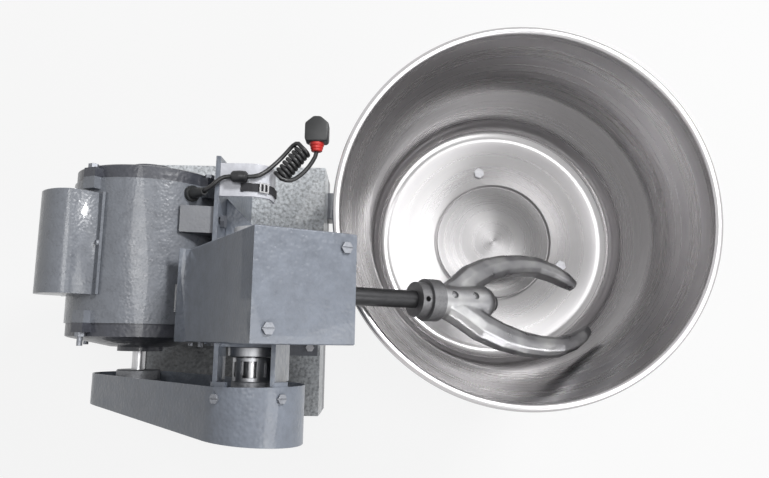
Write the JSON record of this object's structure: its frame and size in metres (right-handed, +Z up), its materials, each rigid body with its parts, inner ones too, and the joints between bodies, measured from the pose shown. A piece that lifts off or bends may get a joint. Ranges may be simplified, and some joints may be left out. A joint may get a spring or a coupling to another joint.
{
  "type": "dough mixer",
  "caption": "Table dough mixer with a belt driven inclined two-prong kneading fork, sheet gear cover and belt guard, and a free turning stainless bowl.",
  "frame": {"origin": "middle of the whole machine seen from above, on the floor under its feet", "axes": "+X from the motor towards the bowl, +Y from the belt guard towards the lead, +Z up"},
  "size_m": [0.745, 0.456, 0.5006],
  "materials": {
    "rubber": "matt black rubber",
    "frame_paint": "grey enamel",
    "hammer_paint": "blue grey hammertone enamel",
    "motor_paint": "light blue grey enamel",
    "bell_paint": "grey enamel over cast iron",
    "machined_steel": "turned steel",
    "bearing_steel": "ground bearing steel",
    "zinc_steel": "zinc plated",
    "dark_steel": "dark, lightly oiled steel",
    "stainless": "polished stainless sheet",
    "cast_aluminium": "satin sand casting",
    "cast_iron": "machined cast iron",
    "gear_steel": "cut gear steel, greased",
    "lamination": "stacked electrical sheet",
    "copper_wire": "varnished copper wire",
    "belt_rubber": "fabric covered rubber",
    "black_plastic": "black",
    "cord_black": "black flexible sheath",
    "strap": "black webbing with a metal buckle",
    "pin_brass": "bright brass"
  },
  "bodies": {
    "frame": {"rubber_feet": "rubber", "base_rails": "frame_paint", "cross_tubes": "frame_paint", "hub_plate": "frame_paint", "spindle_housing": "bell_paint", "hub_bolts": "zinc_steel", "spindle_bearings": "bearing_steel", "deck_box": "hammer_paint", "deck_bolts": "zinc_steel", "gear_frame": "hammer_paint", "fork_bearing_tube": "bell_paint", "tube_bolts": "zinc_steel", "fork_bearings": "bearing_steel", "gear_cover": "hammer_paint", "cover_screws": "zinc_steel", "front_bearing_housing": "cast_iron", "rear_bearing_housing": "cast_iron", "input_bearings": "bearing_steel", "motor_plate": "hammer_paint", "plate_gusset": "hammer_paint", "motor_cradle": "hammer_paint", "motor_shell": "motor_paint", "stator_core": "lamination", "stator_windings": "copper_wire", "front_end_bell": "bell_paint", "rear_end_bell": "bell_paint", "bell_bolts": "zinc_steel", "motor_bearings": "bearing_steel", "capacitor_cover": "motor_paint", "capacitor": "black_plastic", "capacitor_screws": "zinc_steel", "drive_belt": "belt_rubber", "belt_guard": "hammer_paint", "guard_bracket": "hammer_paint", "guard_screws": "zinc_steel", "lead_gland": "black_plastic", "cord_holder": "motor_paint", "tape_wrap": "rubber", "strap": "strap", "strap_buckle": "zinc_steel", "lead": "cord_black", "wound_lead": "cord_black", "plug": "black_plastic", "plug_pins": "pin_brass"},
    "motor_rotor": {"rotor": "lamination", "motor_shaft": "machined_steel", "motor_pulley": "cast_iron"},
    "cross_shaft": {"input_shaft": "machined_steel", "pinion": "gear_steel", "driven_pulley": "cast_iron", "spacer_sleeve": "dark_steel"},
    "fork_drive": {"crown_wheel": "gear_steel", "fork_shaft": "dark_steel", "shaft_collar": "dark_steel", "fork": "cast_aluminium", "fork_screws": "dark_steel"},
    "bowl_table": {"spindle": "machined_steel", "turntable": "machined_steel", "bowl": "stainless", "bowl_bolts": "zinc_steel"}
  },
  "joints": [
    {"name": "motor_spin", "type": "hinge", "parent": "frame", "child": "motor_rotor", "pos_m": [-0.27754, 0.015, 0.249], "axis": [0, 1, 0], "continuous": true},
    {"name": "input_spin", "type": "hinge", "parent": "frame", "child": "cross_shaft", "pos_m": [-0.11754, 0.015, 0.41], "axis": [0, 1, 0], "continuous": true},
    {"name": "fork_spin", "type": "hinge", "parent": "frame", "child": "fork_drive", "pos_m": [-0.11754, -0.082, 0.41], "axis": [0.866, 0, -0.5], "continuous": true},
    {"name": "bowl_spin", "type": "hinge", "parent": "frame", "child": "bowl_table", "pos_m": [0.15946, 0.015, 0.09], "axis": [0, 0, 1], "continuous": true}
  ],
  "couplings": [
    {"joint": "input_spin", "follows": "motor_spin", "ratio": 0.53247},
    {"joint": "fork_spin", "follows": "motor_spin", "ratio": -0.19362}
  ]
}
